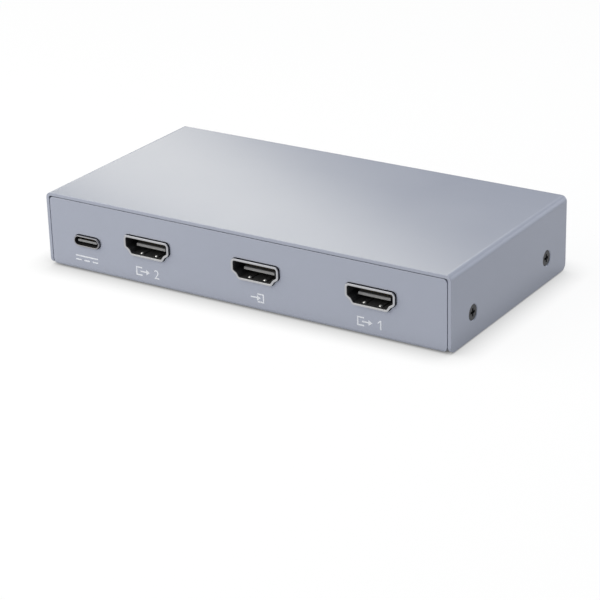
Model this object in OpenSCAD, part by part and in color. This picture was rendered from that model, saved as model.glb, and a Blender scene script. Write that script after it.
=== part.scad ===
// Video splitter box: a folded sheet cover screwed over a folded tray. The tray carries one
// circuit board with three video sockets and a power inlet, which look out of the socket panel,
// and three indicator lights, which look out of the rear panel.
// X runs along the socket panel, Y from the socket panel to the rear panel, and Z up from the
// surface that the box stands on. The origin lies under the middle of the box.

/* [Case] */
// Width over the side walls of the cover
case_w = 133; // [126:0.5:150]
// Depth over the two panels of the tray
case_d = 68; // [66:0.5:90]
// Height without the feet
case_h = 22.2; // [20:0.1:40]
// Thickness of the folded sheet
sheet_t = 1; // [0.8:0.05:1.2]
// Outside radius of the cover's two long bends
cover_bend = 1.7; // [1.4:0.1:3]
// Inside radius of the tray's folds
fold_r = 0.1; // [0.05:0.05:1]
// Radius of the lower corners of the panels and side walls
corner_r = 2; // [1:0.1:3]
// Radius of the upper corners of the panels
panel_top_r = 1.2; // [0.8:0.1:2]
// Gap between a panel of the tray and the cover around it
seam = 0.2; // [0.15:0.05:0.6]
// Width of the slots that free a screw tab before it is folded up
relief_w = 1.2; // [0.8:0.1:2]
// How far those slots and the corner reliefs run in past the bend
relief_depth = 1.2; // [0.8:0.1:2]

/* [Cover screws] */
// Distance between the two screws of one side wall
screw_span = 43.6; // [36:0.2:46]
// Height of the screws above the underside of the tray
screw_z = 7.5; // [6.5:0.1:9]
// Diameter of the thread
screw_d = 2.5; // [2:0.1:2.6]
// Diameter of the countersunk head
screw_head_d = 4.5; // [4:0.1:4.8]
// Length from the top of the head to the tip
screw_len = 5; // [4.5:0.5:6]
// Diameter of the countersink at the outside of the wall
countersink_d = 4.9; // [4.85:0.05:5.4]
// Width of a screw tab
tab_w = 11; // [8:0.5:14]
// How far a screw tab stands above the centre of its screw
tab_above_screw = 4; // [3:0.1:5]
// Length of the drawn collar behind a threaded hole
collar_len = 1.2; // [0.8:0.1:1.6]
// Wall of that collar
collar_wall = 0.7; // [0.5:0.1:1]
// Clearance between a thread and its hole, or a head and its countersink
thread_gap = 0.05; // [0.03:0.01:0.1]
// Width of one arm of a cross recess
recess_arm = 0.7; // [0.5:0.1:0.9]
// Span of a cross recess
recess_span = 2.4; // [1.8:0.1:2.8]
// Depth of a cross recess
recess_depth = 0.8; // [0.5:0.1:1]

/* [Feet] */
// Diameter of a foot where it meets the tray
foot_d = 9; // [6:0.5:12]
// Height of a foot
foot_h = 0.4; // [0.3:0.1:4]
// Radius of the rounded lower edge of a foot
foot_round = 0.15; // [0.05:0.05:0.25]
// Distance of a foot's centre from the side wall's outside
foot_inset_x = 9.5; // [8:0.5:12]
// Distance of a foot's centre from the panel's outside
foot_inset_y = 9.5; // [8:0.5:14]

/* [Circuit board] */
// Thickness of the board
board_t = 1.6; // [1:0.1:2]
// Clear space between the tip of a cover screw and the board
board_side_gap = 1.25; // [0.6:0.05:2]
// Clear space between the socket panel and the board
board_front_gap = 0.7; // [0.4:0.1:1.2]
// Clear space between the rear panel and the board
board_rear_gap = 3; // [2.2:0.1:5]
// Radius of the board's corners
board_corner_r = 1.5; // [0.5:0.1:3]
// Distance of the fixing holes from the board's side edges
fixing_side = 10; // [9.5:0.5:11]
// Distance of the front fixing holes from the board's front edge
fixing_front = 16; // [15.5:0.5:18]
// Distance of the rear fixing holes from the board's rear edge
fixing_rear = 6; // [5:0.5:9]
// Diameter of the fixing holes
fixing_hole_d = 2.8; // [2.7:0.1:3.2]
// Height of the standoffs under the board
standoff_h = 5.2; // [4:0.1:7]
// Width across the flats of a standoff
standoff_flats = 5; // [4.8:0.1:6]
// Diameter of the shank that is pressed into the tray
standoff_shank_d = 4; // [3.6:0.1:4.4]
// Clearance of that shank in its hole
press_gap = 0.03; // [0.02:0.01:0.06]
// Diameter of a board screw's head
board_screw_head_d = 4.6; // [4.2:0.1:5]
// Height of a board screw's head
board_screw_head_h = 1.6; // [1.4:0.1:2]
// Length of a board screw under its head
board_screw_len = 5; // [4:0.5:6]
// Room left under the tip of a board screw
board_screw_room = 0.6; // [0.3:0.1:1]

/* [Video sockets] */
// Distance of the left socket's middle from the outside of the left side wall
left_socket_inset = 35.5; // [34:0.1:37]
// Distance of the right socket's middle from the outside of the right side wall
right_socket_inset = 24.2; // [20:0.1:26]
// Width inside the shell, along its wide upper side
cavity_w = 14; // [13.8:0.05:14.4]
// Height inside the shell
cavity_h = 4.55; // [4.5:0.05:5]
// Width inside the shell, along its narrow lower side
cavity_floor_w = 10.1; // [9.6:0.1:10.6]
// Width inside the shell at the bend in its leaning sides
cavity_knee_w = 11.6; // [11.2:0.1:12.2]
// Height of that bend above the floor of the shell
cavity_knee_h = 1.15; // [0.9:0.05:1.4]
// Height of the upright part of the shell's sides
cavity_side_h = 2.6; // [2.3:0.05:2.8]
// Inside corner radius of the shell
cavity_r = 0.5; // [0.3:0.05:0.6]
// Thickness of the shell
shell_t = 0.3; // [0.3:0.05:0.5]
// Length of the shell from its mouth
shell_depth = 11; // [10:0.5:13]
// How far the sockets stand out of the panel
socket_proud = 0.75; // [0.5:0.05:1]
// How far the lip at the shell's mouth is turned outwards
lip_w = 0.4; // [0.2:0.05:0.4]
// Clearance between a shell and its cut-out in the panel
cutout_gap = 0.5; // [0.5:0.05:0.7]
// Height of the shell's underside above the board
socket_lift = 1; // [0.7:0.05:1.4]
// Width of a spring finger
spring_w = 1.5; // [1:0.1:1.8]
// Slot on each side of a spring finger
spring_slot = 0.25; // [0.15:0.05:0.4]
// How far a spring finger's crest stands into the socket
spring_rise = 0.15; // [0.1:0.05:0.35]
// Depth of the finger's tip behind the mouth
spring_tip = 1.1; // [1:0.1:1.6]
// Depth of the finger's crest behind the mouth
spring_crest = 1.7; // [1.6:0.1:2.2]
// Length of the flat on the finger's crest
spring_crest_len = 0.5; // [0.2:0.1:0.8]
// Depth of the finger's root behind the mouth
spring_root = 6.5; // [5:0.1:7]
// Distance of the lower fingers from the middle of the socket
lower_spring_x = 2.5; // [2:0.1:3]
// Distance of the upper fingers from the middle of the socket
upper_spring_x = 5.4; // [4.8:0.1:5.6]
// Length of a fixing leg along the shell
leg_len = 1.8; // [1.2:0.1:2.4]
// Depths of the two pairs of fixing legs behind the mouth
leg_depths = [4.2, 8.4]; // [3.6:0.1:9]
// How far the legs reach past the underside of the board
leg_reach = 0.8; // [0.4:0.1:1.5]
// Clearance of a leg in its slot in the board
leg_gap = 0.15; // [0.1:0.05:0.3]

/* [Socket inserts] */
// Clearance between an insert and its shell
insert_gap = 0.05; // [0.03:0.01:0.1]
// Length of the insert that the shell holds
insert_len = 2.6; // [2:0.1:3.4]
// Length of the insert's foot behind the shell
insert_foot_len = 1.6; // [1.2:0.1:2.4]
// Width of the tongue
tongue_w = 10; // [9.7:0.1:10.4]
// Thickness of the tongue
tongue_t = 1.2; // [1:0.05:1.4]
// Height of the tongue's middle above the floor of the shell
tongue_z = 1.95; // [1.8:0.05:2.2]
// Depth of the tongue's tip behind the mouth
tongue_tip = 2.5; // [2.3:0.1:3.2]
// Thickness that is left at the tongue's chamfered tip
tongue_tip_t = 0.7; // [0.5:0.05:0.9]
// Length of that chamfer
tongue_chamfer = 0.5; // [0.3:0.1:0.8]
// Number of contacts in the upper row, one more than in the lower row
upper_contacts = 10; // [6:1:10]
// Distance between neighbouring contacts of one row
contact_pitch = 1; // [0.9:0.05:1]
// Width of a contact
contact_w = 0.35; // [0.25:0.05:0.4]
// Thickness of a contact
contact_t = 0.15; // [0.1:0.01:0.2]
// Distance of a contact's tip from the tongue's tip
contact_setback = 0.7; // [0.5:0.1:1.2]
// Length of a contact's solder foot
solder_len = 1.1; // [0.8:0.1:1.6]

/* [Power inlet] */
// Distance of the inlet's middle from the outside of the left side wall
inlet_inset = 14.2; // [13.6:0.1:15.4]
// Width inside the inlet's shell
inlet_w = 8.34; // [8.2:0.02:8.6]
// Height inside the inlet's shell
inlet_h = 2.56; // [2.5:0.02:2.8]
// Thickness of the inlet's shell
inlet_shell_t = 0.3; // [0.25:0.05:0.4]
// Clearance between that shell and its cut-out in the panel
inlet_gap = 0.2; // [0.15:0.05:0.5]
// Length of the inlet's shell from its mouth
inlet_depth = 7.3; // [7:0.1:9]
// Length of the moulded insert at the back of that shell
inlet_insert_len = 1.8; // [1.4:0.1:2.2]
// Width of the inlet's tongue
inlet_tongue_w = 6.7; // [6.4:0.1:6.8]
// Thickness of the inlet's tongue
inlet_tongue_t = 0.7; // [0.6:0.05:0.8]
// Depth of the tongue's tip behind the mouth
inlet_tongue_tip = 0.6; // [0.4:0.1:1.6]
// Width of a contact of the inlet
inlet_contact_w = 0.3; // [0.2:0.05:0.35]
// Offsets of the ground, supply and sense contacts on one face of the tongue
inlet_contact_x = [-2.75, -1.25, -0.75, 1.25, 2.75]; // [-2.75:0.25:2.75]
// Depths of the inlet's two pairs of fixing legs behind the mouth
inlet_leg_depths = [3.2, 5.4]; // [3:0.1:6]
// Length of a fixing leg along the inlet's shell
inlet_leg_len = 1.2; // [0.8:0.1:1.6]

/* [Indicator lights] */
// Distance of the middle light from the outside of the right side wall
light_inset = 36.5; // [30:0.5:56]
// Distance between neighbouring lights
light_pitch = 10; // [6:0.5:12]
// Diameter of a light pipe
pipe_d = 3; // [2:0.1:4]
// Diameter of the collar that holds a pipe behind the panel
pipe_collar_d = 4.2; // [4.1:0.1:5]
// Length of that collar
pipe_collar_len = 0.8; // [0.5:0.1:1.2]
// How far a pipe's domed tip stands out of the panel
pipe_proud = 0.5; // [0.2:0.05:0.8]
// Clearance between a pipe and its hole
pipe_gap = 0.05; // [0.03:0.01:0.1]
// Gap between a lamp and its light pipe
lamp_gap = 0.3; // [0.2:0.1:0.6]
// Width of a lamp
lamp_w = 3; // [2:0.1:3.6]
// Length of a lamp over the board
lamp_len = 1.4; // [1:0.1:2]
// Height of a lamp
lamp_h = 1.6; // [1.2:0.1:2]
// Radius of the round window in a lamp's face
lamp_window_r = 0.5; // [0.3:0.05:0.55]
// Depth of that window
lamp_window_depth = 0.2; // [0.1:0.05:0.4]

/* [Chips] */
// Where the splitter chip sits on the board
splitter_at = [6, -4]; // [-30:1:30]
// Side of the splitter chip
splitter_side = 12; // [9:0.5:13]
// Height of the splitter chip
splitter_h = 0.9; // [0.7:0.1:1.4]
// Thickness of the thermal tape on it
tape_t = 0.25; // [0.15:0.05:0.5]
// Side of the heat sink
sink_side = 16; // [14:0.5:18]
// Height of the heat sink
sink_h = 6; // [4:0.5:7]
// Thickness of the heat sink's base
sink_base = 1.4; // [1:0.1:2]
// Number of fins
sink_fins = 7; // [4:1:9]
// Thickness of a fin
sink_fin_t = 0.9; // [0.6:0.1:1.2]
// Where the controller chip sits
controller_at = [-20, 8]; // [-30:1:30]
// Side of the controller chip
controller_side = 7; // [5:0.5:8]
// Leads on each side of the controller chip
controller_leads = 8; // [6:1:9]
// Where the memory chip sits
memory_at = [-35, 12]; // [-40:1:30]
// Where the regulator chip sits: X from the inlet's middle, Y from the middle of the case
regulator_at = [8.3, -3]; // [-10:0.1:30]
// Length of the two small eight-lead chips
small_chip_len = 5; // [4.5:0.1:5.5]
// Width of their bodies
small_chip_w = 4; // [3.6:0.1:4.4]
// Height of a leaded chip
leaded_h = 1.5; // [1.2:0.1:1.9]
// Height of a leaded chip's underside above the board
leaded_lift = 0.1; // [0.05:0.05:0.2]
// Distance between neighbouring leads of a small chip
small_lead_pitch = 1.27; // [1:0.01:1.3]
// Distance between neighbouring leads of the controller chip
fine_lead_pitch = 0.7; // [0.5:0.05:0.75]
// Width of a lead
lead_w = 0.35; // [0.25:0.05:0.4]
// Thickness of a lead
lead_t = 0.15; // [0.1:0.01:0.2]
// How far a lead stands out from its chip
lead_out = 1; // [0.8:0.1:1.4]

/* [Other board parts] */
// Where the crystal sits
crystal_at = [-8, 10]; // [-20:1:20]
// Length of the crystal's can
crystal_len = 10; // [8:0.5:11]
// Width of the crystal's can
crystal_w = 3.8; // [3:0.1:4.5]
// Height of the crystal's can
crystal_h = 3.5; // [2.5:0.1:4]
// Width of the flange round the crystal's can
crystal_flange = 0.4; // [0.3:0.1:0.7]
// Thickness of that flange
crystal_flange_t = 0.5; // [0.3:0.1:0.8]
// Where the power inductor sits, placed as the regulator chip is
inductor_at = [18.3, -4]; // [-10:0.1:30]
// Side of the inductor's square base
inductor_side = 7; // [6:0.5:8]
// Height of the inductor
inductor_h = 4.2; // [3:0.1:5]
// Thickness of the inductor's base and of its two flanges
inductor_flange = 0.8; // [0.6:0.1:1]
// How far the winding lies inside the flanges
inductor_waist = 0.7; // [0.4:0.1:1.2]
// Where the input and output capacitors sit, placed as the regulator chip is
capacitors_at = [[-1.7, 4], [26.3, -8]]; // [-10:0.1:30]
// Diameter of a capacitor's can
can_d = 6.3; // [5:0.1:6.5]
// Height of a capacitor
can_h = 5.6; // [5:0.1:8]
// Depth of the groove rolled into a can
can_groove = 0.3; // [0.2:0.05:0.5]
// Side of a capacitor's square base
can_base_side = 6.6; // [6.6:0.1:7]
// Thickness of that base
can_base_t = 1; // [0.6:0.1:1.4]
// Number of guard diode packages behind each video socket
guards = 4; // [2:1:5]
// Distance between neighbouring guard diode packages
guard_pitch = 2.6; // [2.2:0.1:2.8]
// Length, width and height of a guard diode package
guard_size = [2, 1, 0.55]; // [0.4:0.05:2.1]
// Distance of the guard diodes behind the solder feet
guard_gap = 1; // [0.6:0.1:1.4]
// Length, width and height of a chip capacitor or resistor
passive_size = [1.6, 0.8, 0.6]; // [0.4:0.05:1.8]
// Distance between neighbouring chip capacitors or resistors
passive_pitch = 2; // [1.9:0.1:2.4]
// Number of chip capacitors in a row
capacitor_count = 6; // [3:1:7]
// Number of chip resistors in a row
resistor_count = 5; // [3:1:6]
// Clear space between the heat sink and the chip capacitors beside it
passive_gap = 1.5; // [1:0.1:3]
// Middle of the row of chip resistors
resistors_at = [-20, 18]; // [-30:1:30]

/* [Hidden] */

$fn = 64;
// How far a cutting shape runs past what it cuts
cut = 0.5;
// Straight steps that stand for one rounded corner of a socket's outline
arc_steps = 5;
LEFT = -1;
MIDDLE = 0;
RIGHT = 1;
FRONT = -1;
REAR = 1;

case_colour = [0.66, 0.68, 0.73];
screw_colour = [0.08, 0.08, 0.09];
plated_colour = [0.85, 0.85, 0.86];
insert_colour = [0.1, 0.1, 0.11];
contact_colour = [0.83, 0.68, 0.32];
board_colour = [0.06, 0.3, 0.16];
chip_colour = [0.12, 0.12, 0.13];
rubber_colour = [0.05, 0.05, 0.05];
metal_colour = [0.72, 0.73, 0.75];
ferrite_colour = [0.25, 0.25, 0.27];
tape_colour = [0.55, 0.6, 0.65];
ceramic_colour = [0.7, 0.6, 0.48];
lamp_colour = [0.95, 0.94, 0.85];
clear_colour = [0.9, 0.95, 0.97, 0.6];

// Inside faces of the cover, and the panels that fit between them
cover_inner_x = case_w / 2 - sheet_t;
panel_half_w = cover_inner_x - seam;
panel_top = case_h - sheet_t - seam;
panel_inner_y = case_d / 2 - sheet_t;
tray_bend = sheet_t + fold_r;
bend_zone = tray_bend + relief_depth;

// A head rests in its countersink with the thread gap between the two cones
screw_sink = (countersink_d - screw_head_d) / 2 - thread_gap;
tab_top = screw_z + tab_above_screw;
tab_bore_d = screw_d + 2 * thread_gap;
tab_lead_in = max(screw_sink + (screw_head_d - screw_d) / 2 - sheet_t, 0) + thread_gap;

// The board lies between the screw tips and the two panels
board_half_w = case_w / 2 - screw_sink - screw_len - board_side_gap;
board_front = -panel_inner_y + board_front_gap;
board_rear = panel_inner_y - board_rear_gap;
board_under = sheet_t + standoff_h;
board_top = board_under + board_t;
fixing_x = board_half_w - fixing_side;
fixing_ys = [board_front + fixing_front, board_rear - fixing_rear];
standoff_bore_d = screw_d + 2 * thread_gap;
standoff_bore_depth = board_screw_len - board_t + board_screw_room;

// A socket's own frame: X across, Y into the case from the mouth, Z up from the cavity's floor
mouth_y = -case_d / 2 - socket_proud;
left_socket_x = -case_w / 2 + left_socket_inset;
right_socket_x = case_w / 2 - right_socket_inset;
cavity_floor_z = board_top + socket_lift + shell_t;
socket_board_z = -(socket_lift + shell_t);
cavity_lean_h = cavity_h - cavity_side_h;
cavity_side = [[cavity_floor_w / 2, 0], [cavity_knee_w / 2, cavity_knee_h],
    [cavity_w / 2, cavity_lean_h], [cavity_w / 2, cavity_h]];
insert_rear = shell_depth + insert_foot_len;
contact_rear = insert_rear + insert_gap + contact_t;
tongue_top = tongue_z + tongue_t / 2;
tongue_under = tongue_z - tongue_t / 2;
contact_tip = tongue_tip + tongue_chamfer + contact_setback;
solder_end = contact_rear + solder_len;

// The inlet's own frame is like a socket's, with its origin in the middle of the mouth
inlet_x = -case_w / 2 + inlet_inset;
inlet_outer_w = inlet_w + 2 * inlet_shell_t;
inlet_outer_h = inlet_h + 2 * inlet_shell_t;
inlet_centre_z = board_top + inlet_outer_h / 2;
inlet_board_z = -inlet_outer_h / 2;
inlet_contact_rear = inlet_depth + insert_gap + contact_t;

// The lamps stand at the board's rear edge, level with their light pipes
light_x = case_w / 2 - light_inset;
pipe_z = board_top + lamp_h / 2;
pipe_start = board_rear + lamp_gap;
pipe_end = case_d / 2 + pipe_proud;

// Stacks on the splitter chip
tape_z = board_top + splitter_h;
sink_z = tape_z + tape_t;

function unit(v) = v / norm(v);

// The arc that rounds one corner of an outline
function round_corner(before, corner, after, r) =
    let (
        u = unit(before - corner),
        v = unit(after - corner),
        half = acos(u * v) / 2,
        centre = corner + unit(u + v) * r / sin(half),
        from = corner + u * r / tan(half) - centre,
        to = corner + v * r / tan(half) - centre,
        turn = sign(cross(from, to)) * (180 - 2 * half)
    )
    [for (i = [0:arc_steps])
        let (a = turn * i / arc_steps)
        centre + [from.x * cos(a) - from.y * sin(a), from.x * sin(a) + from.y * cos(a)]];

function rounded(points, r) =
    let (n = len(points))
    [for (i = [0:n - 1])
        each round_corner(points[(i + n - 1) % n], points[i], points[(i + 1) % n], r)];

// One corner of an anticlockwise outline, moved inwards from both its edges by inset
function moved_corner(before, corner, after, inset) =
    let (
        u = unit(before - corner),
        v = unit(after - corner),
        half = acos(u * v) / 2
    )
    corner + unit(u + v) * sign(cross(v, u)) * inset / sin(half);

function moved_in(points, inset) =
    let (n = len(points))
    [for (i = [0:n - 1])
        moved_corner(points[(i + n - 1) % n], points[i], points[(i + 1) % n], inset)];

function flipped(points) = [for (i = [len(points) - 1:-1:0]) [-points[i].x, points[i].y]];

// The middle socket lies midway between the two outer ones
function socket_x(place) =
    (left_socket_x + right_socket_x + place * (right_socket_x - left_socket_x)) / 2;

// Small helpers that draw

// Waste that leaves a rounded corner at the origin of a sheet in the first quadrant
module corner_waste(r) {
    difference() {
        translate([-cut, -cut]) square(r + cut);
        translate([r, r]) circle(r);
    }
}

// A rectangle standing on y = 0, with its two upper corners rounded
module round_topped(w, h, r) {
    difference() {
        translate([-w / 2, 0]) square([w, h]);
        for (side = [LEFT, RIGHT])
            translate([side * w / 2, h])
                scale_to_corner(side, -1) corner_waste(r);
    }
}

// A rectangle about the origin with four rounded corners
module round_cornered(w, h, r) {
    difference() {
        square([w, h], center = true);
        for (side = [LEFT, RIGHT])
            for (end = [FRONT, REAR])
                translate([side * w / 2, end * h / 2])
                    scale_to_corner(side, -end) corner_waste(r);
    }
}

// Turns a shape drawn for a lower left corner to face another corner
module scale_to_corner(side, up) {
    mirror([side == RIGHT ? 1 : 0, 0, 0])
        mirror([0, up < 0 ? 1 : 0, 0])
            children();
}

// A slot shape with round ends, w over its ends and h over its flats
module slot_outline(w, h) {
    square([w - h, h], center = true);
    for (side = [LEFT, RIGHT])
        translate([side * (w - h) / 2, 0]) circle(h / 2);
}

// A video socket's cavity, with its walls moved inwards by inset
module socket_outline(inset) {
    walls = moved_in(concat(cavity_side, flipped(cavity_side)), inset);
    polygon(rounded(walls, max(cavity_r - inset, cavity_r / 2)));
}

// Extrudes an outline drawn in X and Z along Y, from y = start
module along_y(start, length) {
    translate([0, start + length, 0])
        rotate([90, 0, 0])
            linear_extrude(length) children();
}

// Extrudes an outline drawn in Y and Z along X, centred
module across_x(width) {
    rotate([90, 0, 90])
        linear_extrude(width, center = true) children();
}

module on_case() {
    translate([0, 0, foot_h]) children();
}

module on_board(at) {
    translate([at.x, at.y, foot_h + board_top]) children();
}

module by_inlet(at) {
    on_board([inlet_x + at.x, at.y]) children();
}

module at_socket(place) {
    translate([socket_x(place), mouth_y, foot_h + cavity_floor_z]) children();
}

module at_inlet() {
    translate([inlet_x, mouth_y, foot_h + inlet_centre_z]) children();
}

module at_fixings() {
    for (side = [LEFT, RIGHT])
        for (y = fixing_ys)
            translate([side * fixing_x, y, foot_h]) children();
}

// The four cover screws' heads, with the screw's own Z pointing out of the side wall
module at_cover_screws() {
    for (side = [LEFT, RIGHT])
        for (end = [FRONT, REAR])
            translate([side * case_w / 2, end * screw_span / 2, foot_h + screw_z])
                rotate([0, side * 90, 0]) children();
}

module cross_recess() {
    for (turn = [0, 90])
        rotate(turn)
            translate([-recess_span / 2, -recess_arm / 2, -recess_depth])
                cube([recess_span, recess_arm, recess_depth + cut]);
}

// Case

module top_cover() {
    color(case_colour)
        difference() {
            on_case()
                difference() {
                    along_y(-case_d / 2, case_d)
                        difference() {
                            round_topped(case_w, case_h, cover_bend);
                            translate([0, -cut])
                                round_topped(2 * cover_inner_x, case_h - sheet_t + cut,
                                    cover_bend - sheet_t);
                        }
                    for (end = [FRONT, REAR])
                        translate([0, end * case_d / 2, 0])
                            across_x(case_w + 2 * cut)
                                scale_to_corner(end, 1) corner_waste(corner_r);
                }
            at_cover_screws() countersink();
        }
}

module countersink() {
    back_d = countersink_d - 2 * sheet_t;
    rotate_extrude()
        polygon([[0, cut], [countersink_d / 2 + cut, cut], [back_d / 2 - cut, -sheet_t - cut],
            [0, -sheet_t - cut]]);
}

// Floor and two panels in one fold, before anything is cut
module tray_fold() {
    across_x(2 * panel_half_w)
        translate([0, panel_top])
            mirror([0, 1, 0])
                difference() {
                    round_topped(case_d, panel_top, tray_bend);
                    translate([0, -cut])
                        round_topped(2 * panel_inner_y, panel_top - sheet_t + cut, fold_r);
                }
}

// Waste at the four corners of a panel, which reaches past the bend at the lower ones
module panel_corners(end) {
    for (side = [LEFT, RIGHT]) {
        translate([side * panel_half_w, end * (case_d / 2 - bend_zone / 2), panel_top])
            along_y(-bend_zone / 2 - cut, bend_zone + 2 * cut)
                scale_to_corner(side, -1) corner_waste(panel_top_r);
        translate([side * panel_half_w, end * (case_d / 2 - bend_zone / 2), 0])
            along_y(-bend_zone / 2 - cut, bend_zone + 2 * cut)
                scale_to_corner(side, 1) corner_waste(corner_r);
    }
}

// A screw tab folded up from the tray's floor, with its threaded collar
module screw_tab(side, end) {
    translate([0, end * screw_span / 2, 0])
        mirror([side == LEFT ? 1 : 0, 0, 0]) {
            along_y(-tab_w / 2, tab_w)
                difference() {
                    tab_section();
                    translate([cover_inner_x, 0]) scale_to_corner(RIGHT, 1) corner_waste(tray_bend);
                }
            translate([cover_inner_x - sheet_t - collar_len, 0, screw_z])
                rotate([0, 90, 0])
                    cylinder(d = tab_bore_d + 2 * collar_wall, h = collar_len + sheet_t / 2);
        }
}

// The tab's section: a strip of the floor and the upright part
module tab_section() {
    floor_from = panel_half_w - bend_zone;
    translate([floor_from, 0]) square([cover_inner_x - floor_from, sheet_t]);
    translate([cover_inner_x - sheet_t, 0]) square([sheet_t, tab_top]);
    translate([cover_inner_x - sheet_t, sheet_t])
        scale_to_corner(RIGHT, 1)
            difference() {
                square(fold_r);
                translate([fold_r, fold_r]) circle(fold_r);
            }
}

// Slots on both sides of each tab
module tab_reliefs() {
    for (side = [LEFT, RIGHT])
        for (end = [FRONT, REAR])
            for (edge = [-1, 1])
                translate([side * (panel_half_w + cut - (bend_zone + cut) / 2),
                        end * screw_span / 2 + edge * (tab_w + relief_w) / 2, sheet_t / 2])
                    cube([bend_zone + cut, relief_w, sheet_t + 2 * cut], center = true);
}

module tab_bores() {
    for (side = [LEFT, RIGHT])
        for (end = [FRONT, REAR])
            translate([side * cover_inner_x, end * screw_span / 2, screw_z])
                rotate([0, side * 90, 0])
                    rotate_extrude()
                        polygon([[0, cut], [tab_bore_d / 2 + tab_lead_in + cut, cut],
                            [tab_bore_d / 2, -tab_lead_in],
                            [tab_bore_d / 2, -sheet_t - collar_len - cut],
                            [0, -sheet_t - collar_len - cut]]);
}

module panel_cutouts() {
    panel_y = -case_d / 2 - cut;
    depth = sheet_t + 2 * cut;
    for (place = [LEFT, MIDDLE, RIGHT])
        translate([socket_x(place), panel_y, cavity_floor_z])
            along_y(0, depth) socket_outline(-shell_t - cutout_gap);
    translate([inlet_x, panel_y, inlet_centre_z])
        along_y(0, depth)
            slot_outline(inlet_outer_w + 2 * inlet_gap, inlet_outer_h + 2 * inlet_gap);
    for (place = [LEFT, MIDDLE, RIGHT])
        translate([light_x + place * light_pitch, panel_inner_y - cut, pipe_z])
            along_y(0, depth) circle(d = pipe_d + 2 * pipe_gap);
}

module bottom_tray() {
    color(case_colour)
        difference() {
            on_case()
                difference() {
                    union() {
                        tray_fold();
                        for (side = [LEFT, RIGHT])
                            for (end = [FRONT, REAR])
                                screw_tab(side, end);
                    }
                    panel_corners(FRONT);
                    panel_corners(REAR);
                    tab_reliefs();
                    tab_bores();
                    panel_cutouts();
                }
            at_fixings()
                translate([0, 0, -cut])
                    cylinder(d = standoff_shank_d + 2 * press_gap, h = sheet_t + 2 * cut);
        }
}

module cover_screws() {
    shank_from = -screw_sink - (screw_head_d - screw_d) / 2;
    color(screw_colour)
        at_cover_screws()
            difference() {
                rotate_extrude()
                    polygon([[0, -screw_sink], [screw_head_d / 2, -screw_sink],
                        [screw_d / 2, shank_from], [screw_d / 2, -screw_sink - screw_len],
                        [0, -screw_sink - screw_len]]);
                translate([0, 0, -screw_sink]) cross_recess();
            }
}

// A turned rubber foot, stuck under the tray
module foot(side, end) {
    color(rubber_colour)
        translate([side * (case_w / 2 - foot_inset_x), end * (case_d / 2 - foot_inset_y), 0])
            rotate_extrude()
                difference() {
                    square([foot_d / 2, foot_h]);
                    translate([foot_d / 2, 0]) scale_to_corner(RIGHT, 1) corner_waste(foot_round);
                }
}

// Circuit board and its fixings

module leg_slots() {
    slot_t = shell_t + 2 * leg_gap;
    inlet_slot_t = inlet_shell_t + 2 * leg_gap;
    for (place = [LEFT, MIDDLE, RIGHT])
        for (side = [LEFT, RIGHT])
            for (depth = leg_depths)
                translate([socket_x(place) + side * (cavity_w + shell_t) / 2,
                        mouth_y + depth, board_under + board_t / 2])
                    cube([slot_t, leg_len + 2 * leg_gap, board_t + 2 * cut], center = true);
    for (side = [LEFT, RIGHT])
        for (depth = inlet_leg_depths)
            translate([inlet_x + side * (inlet_w + inlet_shell_t) / 2, mouth_y + depth,
                    board_under + board_t / 2])
                cube([inlet_slot_t, inlet_leg_len + 2 * leg_gap, board_t + 2 * cut], center = true);
}

module circuit_board() {
    color(board_colour)
        difference() {
            on_case()
                difference() {
                    translate([0, (board_front + board_rear) / 2, board_under])
                        linear_extrude(board_t)
                            round_cornered(2 * board_half_w, board_rear - board_front,
                                board_corner_r);
                    leg_slots();
                }
            at_fixings()
                translate([0, 0, board_under - cut])
                    cylinder(d = fixing_hole_d, h = board_t + 2 * cut);
        }
}

module board_standoffs() {
    hex_d = standoff_flats / cos(30);
    color(metal_colour)
        at_fixings()
            difference() {
                union() {
                    cylinder(d = standoff_shank_d, h = sheet_t + cut);
                    translate([0, 0, sheet_t]) cylinder(d = hex_d, h = standoff_h, $fn = 6);
                }
                translate([0, 0, board_under - standoff_bore_depth])
                    cylinder(d = standoff_bore_d, h = standoff_bore_depth + cut);
            }
}

module board_screws() {
    head_r = board_screw_head_d / 2;
    round_r = board_screw_head_h / 2;
    color(metal_colour)
        at_fixings()
            translate([0, 0, board_top])
                difference() {
                    rotate_extrude() {
                        translate([0, -board_screw_len])
                            square([screw_d / 2, board_screw_len + cut]);
                        difference() {
                            square([head_r, board_screw_head_h]);
                            translate([head_r, board_screw_head_h])
                                scale_to_corner(RIGHT, -1) corner_waste(round_r);
                        }
                    }
                    translate([0, 0, board_screw_head_h]) cross_recess();
                }
}

// Video sockets

// A spring finger in the socket's Y and Z, for the floor: it rises to its crest and falls again
module spring_profile() {
    crest_from = spring_crest - spring_crest_len / 2;
    crest_to = spring_crest + spring_crest_len / 2;
    rise = spring_rise - shell_t;
    polygon([[spring_root + cut, -shell_t], [spring_root + cut, 0], [spring_root, 0],
        [crest_to, spring_rise], [crest_from, spring_rise], [spring_tip, 0],
        [spring_tip, -shell_t], [crest_from, rise], [crest_to, rise], [spring_root, -shell_t]]);
}

// The window that the finger is cut free from
module spring_window() {
    from = spring_tip - spring_slot;
    translate([0, (from + spring_root) / 2, -shell_t / 2])
        cube([spring_w + 2 * spring_slot, spring_root - from, shell_t + cut], center = true);
}

// Places a shape made for the floor at all four spring fingers
module at_springs() {
    for (side = [LEFT, RIGHT]) {
        translate([side * lower_spring_x, 0, 0]) children();
        translate([side * upper_spring_x, 0, cavity_h]) mirror([0, 0, 1]) children();
    }
}

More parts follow.
